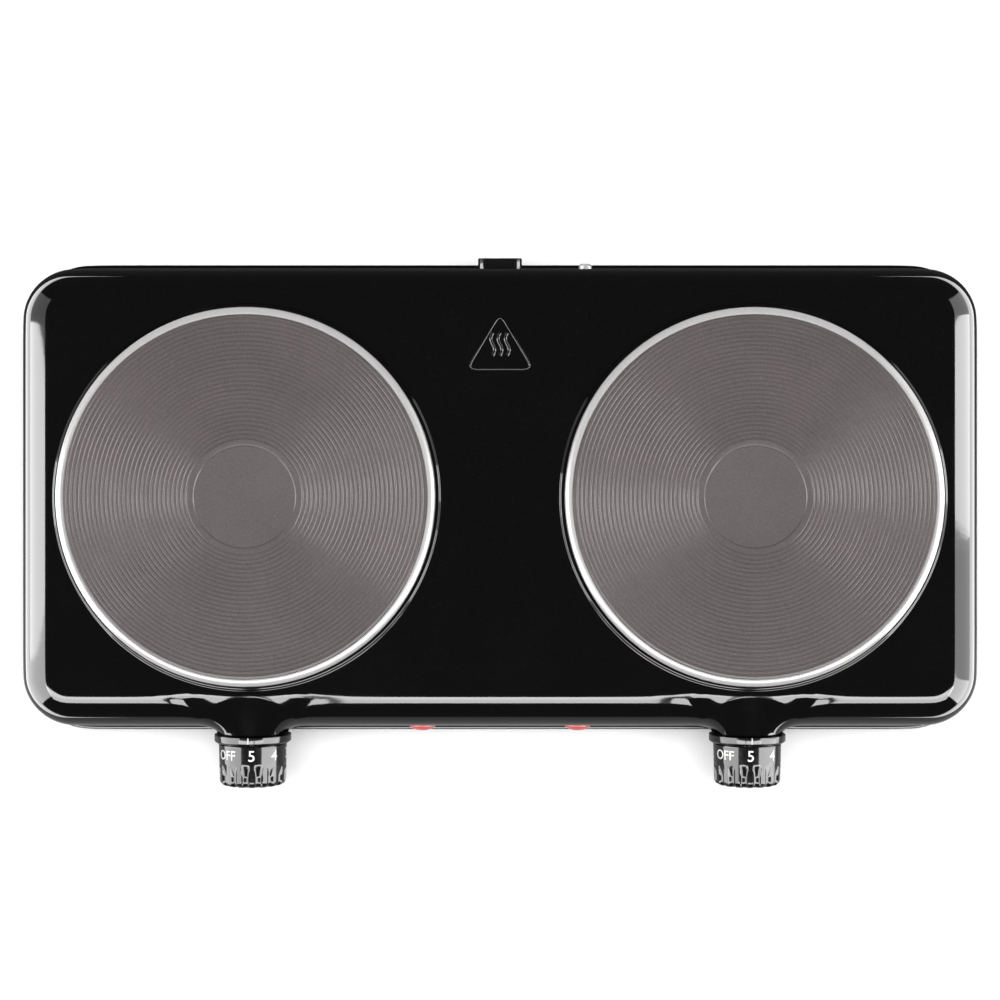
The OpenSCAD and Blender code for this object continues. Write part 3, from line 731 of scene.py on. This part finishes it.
            def place(at):
                turn = math.atan2(at.z - DIAL_Z, at.x - axis.x)
                fillet = math.pi / 2 * min(1, step / fillet_end)
                above = max(0, math.sin(turn)) ** 3
                share = (1 - math.sin(fillet)) * (1 - above) + (1 - step) * above
                last = max(0, step - fillet_end) / (1 - fillet_end)
                rise = (1 - math.cos(fillet)) * fillet_rise + last * (1 - fillet_rise)
                rise = rise * (1 - above) + step * above
                foot = flare_at(turn)
                out = end_radius + (foot - end_radius) * share
                wall_y = MIDDLE_Y - form.core_y - form.reach(DIAL_Z + foot * math.sin(turn))
                low_y = MIDDLE_Y - form.core_y - form.reach(DIAL_Z + out * math.sin(turn))
                start_y = wall_y * above + low_y * (1 - above)
                spot = Vector((axis.x, start_y + (end_y - start_y) * rise, DIAL_Z))
                return spot + Vector((out * math.cos(turn), 0, out * math.sin(turn)))

            return place

        for step in (0, 0.03, 0.12, 0.22, 0.35, 0.5, 0.65, 0.8, 0.92, 0.985):
            extrude_loop(shell, ring_at(step))
        extrude_loop(shell, ring_at(1, radius - 0.15 * MM))
        extrude_loop(shell, ring_at(1, radius - 0.8 * MM))
        extrude_loop(shell, ring_at(1, 12 * MM))
        extrude_loop(shell, ring_at(1, 5.3 * MM))


class HOTPLATE_OT_plates(bpy.types.Operator):
    """Cast-iron plates, turned with a smooth middle and close concentric grooves"""

    bl_idname = "hotplate.plates"
    bl_label = "Cast-iron plates"

    def execute(self, context):
        sizes = context.scene.plate_sizes
        recess, first = sizes.recess / MM, sizes.groove_first / MM
        pitch, depth = sizes.groove_pitch / MM, sizes.groove_depth / MM
        section = [(0, -0.5), (recess - 0.5, -0.5), (recess - 0.1, -0.46), (recess + 0.35, -0.06)]
        section += [(recess + 0.6, 0)]
        for index in range(sizes.grooves):
            radius = first + index * pitch
            section += [(radius - 0.5, 0), (radius - 0.16, -depth)]
            section += [(radius + 0.16, -depth), (radius + 0.5, 0)]
        section += [(89.2, 0), (89.65, -0.12), (89.9, -0.4), (90, -0.9)]
        section += [(90, -9), (87, -9), (87, -12), (82, -12), (82, -9), (0, -9)]
        for side in SIDES:
            origin = (PLATE_AT[side].x, PLATE_AT[side].y, PLATE_TOP)
            plate = turned(f"{side}_cooking_plate", origin, (0, 0, 1), section, steps=144)
            settled(plate, "housing", "cast_iron", f"iron_{side}", smooth=20)
            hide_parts(f"{side}_hot_plate")
        return {"FINISHED"}


class HOTPLATE_OT_rims(bpy.types.Operator):
    """Polished rims: a rolled outer wall on the seat and an inner lip under the plate"""

    bl_idname = "hotplate.rims"
    bl_label = "Trim rings"

    def execute(self, context):
        low = RING_BOX[0][2] / MM
        high = RING_BOX[1][2] / MM
        outer = size_of("left_trim_ring").x / 2 / MM
        seat = (context.scene.housing_sizes.top_z + context.scene.housing_sizes.seat_rise) / MM
        section = [(87.3, low), (87.3, low + 0.8), (90.12, low + 0.8), (90.12, high - 0.3)]
        section += [(90.2, high - 0.1), (90.4, high), (91.0, high - 0.03), (91.8, high - 0.18)]
        section += [(92.5, high - 0.42)]
        section += quarter((outer - 1.4, high - 2.2), (1.4, 1.6), 68, 0, 7)
        section += [(outer, seat + 0.25), (outer - 0.12, seat), (outer - 0.7, seat)]
        section += [(outer - 0.75, high - 2.6), (91.6, high - 1), (91.1, high - 1.1), (91.1, low)]
        section += [(87.3, low)]
        for side in SIDES:
            origin = (PLATE_AT[side].x, PLATE_AT[side].y, 0)
            rim = turned(f"{side}_rim", origin, (0, 0, 1), section, steps=192)
            settled(rim, "housing", "stainless", smooth=40)
            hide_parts(f"{side}_trim_ring")
        return {"FINISHED"}


class HOTPLATE_OT_bezels(bpy.types.Operator):
    """Bezels behind the dials, each with an index mark on top"""

    bl_idname = "hotplate.bezels"
    bl_label = "Bezels"

    def execute(self, context):
        outer = size_of("left_bezel").x / 2 / MM
        section = [(8, 0.2), (8, 4.3), (8.2, 4.5), (outer - 1.7, 4.5), (outer - 1.35, 4.42)]
        section += [(outer - 0.3, 3.6), (outer - 0.08, 3.4), (outer, 3.15), (outer, 0.25)]
        section += [(outer - 0.25, 0), (8.2, 0), (8, 0.2)]
        for side in SIDES:
            axis = DIAL_AT[side]
            origin = (axis.x, BEZEL_BACK, DIAL_Z)
            bezel = turned(f"{side}_dial_bezel", origin, (0, -1, 0), section, steps=128)
            settled(bezel, "housing", "gloss_black_plastic")
            mark = self.index_mark(side, axis.x, outer)
            settled(mark, "housing", "ceramic", "print_white")
            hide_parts(f"{side}_bezel")
        return {"FINISHED"}

    def index_mark(self, side, x, outer):
        """A thin raised line across the top of the bezel."""
        fresh()
        top = DIAL_Z + outer * MM
        bpy.ops.mesh.primitive_cube_add(size=1, location=(x, BEZEL_BACK - 1.75 * MM, top))
        mark = named(f"{side}_index_mark")
        mark.scale = (0.55 * MM, 3 * MM, 0.28 * MM)
        apply_place()
        edit()
        bpy.ops.mesh.bevel(offset=0.09 * MM, segments=2, affect="EDGES")
        bpy.ops.object.mode_set(mode="OBJECT")
        return mark


class HOTPLATE_OT_dials(bpy.types.Operator):
    """Fluted dials, spun from a section and then fluted, with their printed scales"""

    bl_idname = "hotplate.dials"
    bl_label = "Dials"

    marks = {"OFF": -48, "5": 0, "4": 41, "3": 82, "2": 123, "1": 164}

    def execute(self, context):
        sizes = context.scene.dial_sizes
        turns = {"left": sizes.left_turn, "right": sizes.right_turn}
        long = (KNOB_BACK - KNOB_FRONT) / MM
        for side in SIDES:
            origin = Vector((DIAL_AT[side].x, KNOB_BACK, DIAL_Z))
            dial = turned(f"{side}_dial", origin, (0, -1, 0), self.section(long), steps=DIAL_STEPS)
            self.flute(dial, origin, sizes, turns[side])
            settled(dial, f"{side}_dial", "gloss_black_plastic", smooth=40)
            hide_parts(f"{side}_knob")
            self.scale(side, origin, sizes, turns[side])
        return {"FINISHED"}

    def section(self, long):
        """From the hollow back, out over the skirt and along to the rounded front."""
        points = [(3.2, 1.2), (6, 1.2), (6, 2.4), (14.6, 2.4), (15, 2), (15, 0.15), (15.15, 0), (16.95, 0)]
        points += [(17.12, 0.05), (17.2, 0.22)]
        reach = [0.6, 2, 4, 6, 7.5] + [8.5 + 0.45 * step for step in range(20)]
        wall = DIAL_RADIUS / MM
        points += [(wall - DIAL_TAPER * height, height) for height in reach if height < long - 3.1]
        shoulder = wall - DIAL_TAPER * (long - 3)
        points += quarter((shoulder - 3, long - 3), (3, 3), 0, 90, 12)
        points += [(12.6, long), (11.6, long - 0.05), (10.8, long - 0.35), (10, long - 0.45)]
        return points + [(0, long - 0.45)]

    def flute(self, dial, origin, sizes, turn):
        """Presses flutes into the wall, deeper and deeper up to the front, with edges on its columns."""
        pitch = math.tau / sizes.flutes
        half = pitch * 0.3125
        column = math.tau / DIAL_STEPS
        turn = round(turn / column) * column
        start, depth = sizes.flute_start, sizes.flute_depth
        for vertex in dial.data.vertices:
            flat = Vector((vertex.co.x - origin.x, vertex.co.z - origin.z))
            along = origin.y - vertex.co.y
            if flat.length < FLAT_FACE or along < start:
                continue
            round_turn = math.atan2(flat.y, flat.x) - turn
            off = (round_turn % pitch) - pitch / 2
            grown = min(1, (along - start) / (6 * MM))
            if abs(off) >= half:
                continue
            wall = math.sqrt(1 - (off / half) ** 2)
            edge = min(1, (flat.length - FLAT_FACE) / (1.2 * MM))
            press = depth * wall * grown * edge
            flat *= (flat.length - press) / flat.length
            vertex.co.x, vertex.co.z = origin.x + flat.x, origin.z + flat.y

    def scale(self, side, origin, sizes, turn):
        """Printed marks, set flat and then wrapped round the wall."""
        prints = []
        wall = DIAL_RADIUS - DIAL_TAPER * sizes.digit_line
        for text, degrees in self.marks.items():
            fresh()
            bpy.ops.object.text_add()
            mark = bpy.context.object
            mark.data.body = text
            mark.data.size = sizes.digit_height * (1.38 if len(text) == 1 else 1.2)
            mark.data.align_x, mark.data.align_y = "CENTER", "CENTER"
            mark.data.offset = 0.05 * MM
            mark.data.extrude = 0.06 * MM
            bpy.ops.object.convert(target="MESH")
            mark = named(f"{side}_mark_{text}")
            edit()
            bpy.ops.mesh.remove_doubles(threshold=0.003 * MM)
            for step in range(-14, 15):
                bpy.ops.mesh.select_all(action="SELECT")
                bpy.ops.mesh.bisect(plane_co=(step * PRINT_STRIP, 0, 0), plane_no=(1, 0, 0))
            bpy.ops.mesh.select_all(action="SELECT")
            bpy.ops.mesh.normals_make_consistent(inside=False)
            bpy.ops.object.mode_set(mode="OBJECT")
            low = min(v.co.y for v in mark.data.vertices)
            high = max(v.co.y for v in mark.data.vertices)
            middle = (low + high) / 2
            for vertex in mark.data.vertices:
                along = sizes.digit_line - (vertex.co.y - middle)
                radius = DIAL_RADIUS - DIAL_TAPER * along + vertex.co.z + 0.03 * MM
                sweep = vertex.co.x / wall + math.radians(degrees) - turn
                vertex.co = origin + Vector((radius * math.sin(sweep), -along, radius * math.cos(sweep)))
            prints.append(mark)
        scale = joined(f"{side}_scale_print", prints)
        settled(scale, f"{side}_dial", "ceramic", "print_white", smooth=30)


class HOTPLATE_OT_lamps(bpy.types.Operator):
    """Pilot lamp lenses, turned square to the leaning skirt"""

    bl_idname = "hotplate.lamps"
    bl_label = "Pilot lamps"

    def execute(self, context):
        form = Housing(context.scene.housing_sizes)
        lean = form.sizes.draft
        out = Vector((0, -math.cos(lean), math.sin(lean)))
        z = LAMP_Z
        section = [(0, 2.3), (1.2, 2.26), (2.4, 2.12), (3.5, 1.86), (4.5, 1.5), (5.2, 1.14), (5.7, 0.92)]
        section += [(6.2, 0.8), (6.45, 0.66), (6.6, 0.4), (6.6, 0.03), (4.9, 0.03), (4.9, -12.9)]
        section += [(3.8, -12.9), (3.8, -0.6), (3.0, 0.4), (1.6, 0.9), (0, 1.1)]
        for side in SIDES:
            wall_y = MIDDLE_Y - form.core_y - form.reach(z)
            lens = turned(f"{side}_lens", (LAMP_AT[side].x, wall_y, z), out, section, steps=64)
            settled(lens, "housing", "red_lens", smooth=50)
            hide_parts(f"{side}_lamp_lens")
        return {"FINISHED"}


class HOTPLATE_OT_gland(bpy.types.Operator):
    """Cord gland: a rounded block with grip ribs, square to the rear wall"""

    bl_idname = "hotplate.gland"
    bl_label = "Cord gland"

    def execute(self, context):
        form = Housing(context.scene.housing_sizes)
        lean = form.sizes.draft
        z = GLAND_Z
        wall_y = MIDDLE_Y + form.core_y + form.reach(z)
        wide, tall, deep = 22.5 * MM, 17 * MM, 5.2 * MM
        fresh()
        bpy.ops.mesh.primitive_cube_add(size=1, location=(0, 0, deep / 2))
        block = named("gland_block")
        block.scale = (wide, tall, deep)
        apply_place()
        edit()
        select_where(block, "EDGE", lambda e: abs(e.verts[0].co.z - e.verts[1].co.z) > deep / 2)
        bpy.ops.mesh.bevel(offset=4 * MM, segments=8, affect="EDGES")
        select_where(block, "FACE", lambda f: f.normal.z > 0.9)
        bpy.ops.mesh.bevel(offset=0.7 * MM, segments=3, affect="EDGES")
        bpy.ops.object.mode_set(mode="OBJECT")
        cutters = []
        fresh()
        bpy.ops.mesh.primitive_cylinder_add(vertices=48, radius=3.6 * MM, depth=40 * MM)
        cutters.append(bpy.context.object)
        for step in range(-3, 4):
            for edge in (-1, 1):
                fresh()
                at = (step * 2.7 * MM, edge * (tall / 2 + 0.2 * MM), deep / 2 + 0.9 * MM)
                bpy.ops.mesh.primitive_cube_add(size=1, location=at)
                cutter = bpy.context.object
                cutter.scale = (1.1 * MM, 1.6 * MM, deep)
                cutters.append(cutter)
        cutter = joined("gland_cutter", cutters)
        apply_place()
        only(block)
        modify(block, "BOOLEAN", object=cutter, operation="DIFFERENCE", solver="EXACT")
        bpy.data.objects.remove(cutter)
        # its +Z turns to point out of the rear wall
        tilt = Matrix.Rotation(math.pi, 4, "Z") @ Matrix.Rotation(math.pi / 2 - lean, 4, "X")
        block.matrix_world = Matrix.Translation((0, wall_y, z)) @ tilt
        settled(block, "housing", "gloss_black_plastic", smooth=30)
        modify(block, "BEVEL", width=0.12 * MM, segments=2, limit_method="ANGLE")
        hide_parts("cord_gland")
        return {"FINISHED"}


class HOTPLATE_OT_emblem(bpy.types.Operator):
    """Heat emblem raised in the panel: a rounded triangle with three wave ribs"""

    bl_idname = "hotplate.emblem"
    bl_label = "Heat emblem"

    def execute(self, context):
        top = context.scene.housing_sizes.top_z
        middle = Vector((0, MIDDLE_Y + 76.5 * MM, top))
        half_wide, low, high = 16.4 * MM, -12.9 * MM, 14.6 * MM
        corners = [Vector((-half_wide, low, 0)), Vector((half_wide, low, 0)), Vector((0, high, 0))]
        outline = []
        for index, corner in enumerate(corners):
            before, after = corners[index - 1], corners[(index + 1) % 3]
            start = corner + (before - corner).normalized() * 5 * MM
            end = corner + (after - corner).normalized() * 5 * MM
            for step in range(7):
                t = step / 6
                outline.append(middle + start * (1 - t) ** 2 + corner * 2 * t * (1 - t) + end * t**2)
        outline.append(outline[0])
        beads = [beaded(drawn_line("emblem_outline", outline, closed=True), 0.55 * MM)]
        for column in (-1, 0, 1):
            wave = []
            for step in range(25):
                t = step / 24
                across = column * 3.6 * MM + 0.95 * MM * math.sin(t * math.tau)
                wave.append(middle + Vector((across, (-6.2 + 11.2 * t) * MM, 0)))
            beads.append(beaded(drawn_line("emblem_wave", wave), 1.0 * MM))
        emblem = joined("heat_emblem", beads)
        settled(emblem, "housing", "enamel", smooth=60)
        return {"FINISHED"}


class HOTPLATE_OT_feet(bpy.types.Operator):
    """Rubber feet, turned with a soft lower edge and a counterbore"""

    bl_idname = "hotplate.feet"
    bl_label = "Feet"

    def execute(self, context):
        section = [(5, 0.3), (5.3, 0), (8.9, 0), (9.3, 0.12), (9.55, 0.5), (10.75, 8.1), (11, 8.3)]
        section += [(11, 9.2), (10.8, 9.4), (2.3, 9.4), (2.3, 4), (5, 4), (5, 0.3)]
        for foot in ("front_left_foot", "front_right_foot", "rear_left_foot", "rear_right_foot"):
            middle = middle_of(foot)
            piece = turned(f"{foot}_pad", (middle.x, middle.y, 0), (0, 0, 1), section, steps=72)
            settled(piece, "housing", "foot_rubber")
            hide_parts(foot)
        return {"FINISHED"}


class HOTPLATE_OT_carried(bpy.types.Operator):
    """Finishes for the parts that keep their own shape"""

    bl_idname = "hotplate.carried"
    bl_label = "Carried parts"

    def execute(self, context):
        for part in frame["record"]["subparts"]:
            node = frame["nodes"][part["node"]]
            slot = part["material_slot"]
            side = part["node"].split("_")[0]
            finish = FINISH.get(slot) or FINISH[f"iron_{side}"]
            for index in range(len(node.material_slots)):
                node.material_slots[index].material = finish
        return {"FINISHED"}


class HOTPLATE_OT_studio(bpy.types.Operator):
    """Floor, camera, lights and world"""

    bl_idname = "hotplate.studio"
    bl_label = "Studio"

    def execute(self, context):
        scene = context.scene
        studio = scene.studio
        fresh()
        bpy.ops.mesh.primitive_plane_add(size=9, location=(0, MIDDLE_Y, 0))
        floor = named("paper_floor")
        recipe = Recipe("paper", scene.finishes.floor, 0.9)
        recipe.tinted(recipe.spread(recipe.noise(60, 4), 0, 0.5), scaled(scene.finishes.floor, 0.985))
        floor.data.materials.append(recipe.bumped(recipe.noise(900, 3), 0.02 * MM, 0.3).material)
        # painted shade: where glossy surfaces mirror the floor it is made darker, darkest behind the cooker
        self.painted_shade_in_gloss(recipe, 0.38, 0.06)
        bpy.ops.object.camera_add(location=(0, MIDDLE_Y - 1.5 * MM, studio.camera_height), rotation=(0, 0, 0))
        scene.camera = bpy.context.object
        scene.camera.data.lens = studio.lens
        scene.camera.data.sensor_width = 36
        self.world(scene)
        # panels seen only in gloss: where, how wide and tall, and how bright
        aim = Vector((0, MIDDLE_Y, 0.06))
        bright = studio.box_power
        for side, across in SIDES.items():
            for name, start, end, share in BOXES[side]:
                at = (across * 1.9, (start + end) / 2, 1.36)
                self.panel(name, at, (end - start, 2.72), Vector((0, at[1], at[2])), bright * share)
            self.panel(f"{side}_low", (across * 1.11, 0, 0.004), (1.58, 1.6), None, bright * 0.5)
        for name, start, end, share in STRIPS:
            angles = [math.radians(start), math.radians(end)]
            near, far = [math.tan(turn) * 4 + 0.09 for turn in angles]
            inner, outer = [(abs(DIAL_AT["left"].x) + edge) * SPREAD for edge in (-NECK_GAP, NECK_GAP)]
            for start_x, end_x in ((-3, -outer), (-inner, inner), (outer, 3)):
                at = ((start_x + end_x) / 2, -(near + far) / 2, 4.06)
                size = (end_x - start_x, far - near)
                self.panel(name, at, size, Vector(at) - Vector((0, 0, 1)), bright * share)
        # lights that reach matt surfaces only
        overhead = self.panel("overhead", (0, 0.3, 2.6), (1.8, 1.0), aim, 0, gloss=False)
        overhead.data.energy = studio.key_power
        for x in (-1, 1):
            fill = self.panel("fill", (1.6 * x, -0.2, 2.2), (1.4, 1.2), aim, 0, gloss=False)
            fill.data.energy = studio.key_power * 0.35
        scene.view_settings.view_transform = "Standard"
        scene.view_settings.look = "None"
        return {"FINISHED"}

    def painted_shade_in_gloss(self, recipe, front, rear):
        """Painted shade in the floor's reflections: the floor shows darker in gloss than before the eye, and
        darkest behind the cooker.
        """
        across = recipe.node("ShaderNodeSeparateXYZ")
        recipe.link(recipe.place, across.inputs[0])
        share = recipe.spread(across.outputs["Y"], front, rear, -0.1, 0.12)
        black = recipe.node("ShaderNodeBsdfDiffuse")
        black.inputs["Color"].default_value = (0, 0, 0, 1)
        rays = recipe.node("ShaderNodeLightPath")
        dark = recipe.sum(1, share, "SUBTRACT")
        # painted shade: the share of black mixed into the floor for glossy rays
        painted_shade = recipe.sum(rays.outputs["Is Glossy Ray"], dark, "MULTIPLY")
        mix = recipe.node("ShaderNodeMixShader")
        recipe.link(painted_shade, mix.inputs["Fac"])
        recipe.link(recipe.shader.outputs["BSDF"], mix.inputs[1])
        recipe.link(black.outputs["BSDF"], mix.inputs[2])
        recipe.link(mix.outputs["Shader"], recipe.tree.nodes["Material Output"].inputs["Surface"])

    def panel(self, name, at, size, aim, radiance, gloss=True):
        """A rectangular light that faces aim, or straight up."""
        bpy.ops.object.light_add(type="AREA", location=at)
        light = bpy.context.object
        light.name = name
        light.data.shape = "RECTANGLE"
        light.data.size, light.data.size_y = size
        light.data.energy = radiance * math.pi * size[0] * size[1]
        if aim:
            light.rotation_euler = (aim - Vector(at)).to_track_quat("-Z", "Y").to_euler()
        else:
            light.rotation_euler = (math.pi, 0, 0)
        light.visible_camera = False
        light.visible_glossy = gloss
        light.visible_diffuse = not gloss
        light.visible_transmission = gloss
        return light

    def world(self, scene):
        """White behind the floor, soft fill for matt surfaces, and dark in gloss."""
        world = bpy.data.worlds.new("studio_world")
        scene.world = world
        world.use_nodes = True
        tree = world.node_tree
        background = tree.nodes["Background"]
        rays = tree.nodes.new("ShaderNodeLightPath")
        shade = tree.nodes.new("ShaderNodeMapRange")
        background.inputs["Color"].default_value = (1, 1, 1, 1)
        shade.inputs["To Min"].default_value = 0.45
        shade.inputs["To Max"].default_value = 0.08
        lit = tree.nodes.new("ShaderNodeMix")
        tree.links.new(rays.outputs["Is Glossy Ray"], shade.inputs["Value"])
        tree.links.new(rays.outputs["Is Camera Ray"], lit.inputs["Factor"])
        tree.links.new(shade.outputs["Result"], lit.inputs["A"])
        lit.inputs["B"].default_value = 1.0
        tree.links.new(lit.outputs["Result"], background.inputs["Strength"])


# Side boxes: name, from and to along Y in metres, and share of the boxes' brightness
BOXES = {
    "left": (
        ("left_box", -0.22, 0.3, 1),
        ("left_front", -1.5, -0.22, 0.6),
        ("left_rear", 0.3, 1.4, 0.1),
    ),
    "right": (
        ("right_box", -0.04, 0.4, 1),
        ("right_dim", -0.4, -0.04, 0.3),
        ("right_front", -1.5, -0.4, 0.8),
        ("right_rear", 0.4, 1.4, 0.2),
    ),
}

# Overhead strips in front: name, from and to in degrees from overhead, and share of brightness
STRIPS = (("front_strip_high", 15.5, 24, 1.05), ("front_strip_low", 24, 36, 0.85))

# The strips leave out what the necks would mirror: half the gap at the necks, and how far it spreads
NECK_GAP = 15 * MM
SPREAD = 5.3

PIECES = (
    HOTPLATE_OT_carried,
    HOTPLATE_OT_housing,
    HOTPLATE_OT_plates,
    HOTPLATE_OT_rims,
    HOTPLATE_OT_bezels,
    HOTPLATE_OT_dials,
    HOTPLATE_OT_lamps,
    HOTPLATE_OT_gland,
    HOTPLATE_OT_emblem,
    HOTPLATE_OT_feet,
    HOTPLATE_OT_studio,
)

SETTINGS = {
    "housing_sizes": HousingSizes,
    "plate_sizes": PlateSizes,
    "dial_sizes": DialSizes,
    "finishes": Finishes,
    "studio": Studio,
}


class HOTPLATE_PT_pieces(bpy.types.Panel):
    """Sidebar panel that lists the pieces and their sizes"""

    bl_idname = "HOTPLATE_PT_pieces"
    bl_label = "Hot plate"
    bl_space_type = "VIEW_3D"
    bl_region_type = "UI"
    bl_category = "Hot plate"

    def draw(self, context):
        for piece in PIECES:
            self.layout.operator(piece.bl_idname)
        for setting in SETTINGS:
            group = getattr(context.scene, setting)
            box = self.layout.box()
            for key in group.bl_rna.properties.keys():
                if key not in ("rna_type", "name"):
                    box.prop(group, key)


def register():
    for group in SETTINGS.values():
        bpy.utils.register_class(group)
    for piece in (*PIECES, HOTPLATE_PT_pieces):
        bpy.utils.register_class(piece)
    for setting, group in SETTINGS.items():
        setattr(bpy.types.Scene, setting, PointerProperty(type=group))


def unregister():
    for setting in SETTINGS:
        delattr(bpy.types.Scene, setting)
    for made in (HOTPLATE_PT_pieces, *reversed(PIECES), *reversed(SETTINGS.values())):
        bpy.utils.unregister_class(made)


def main():
    register()
    all_finishes()
    for piece in PIECES:
        group, name = piece.bl_idname.split(".")
        getattr(getattr(bpy.ops, group), name)()
    fresh()


if __name__ == "__main__":
    main()
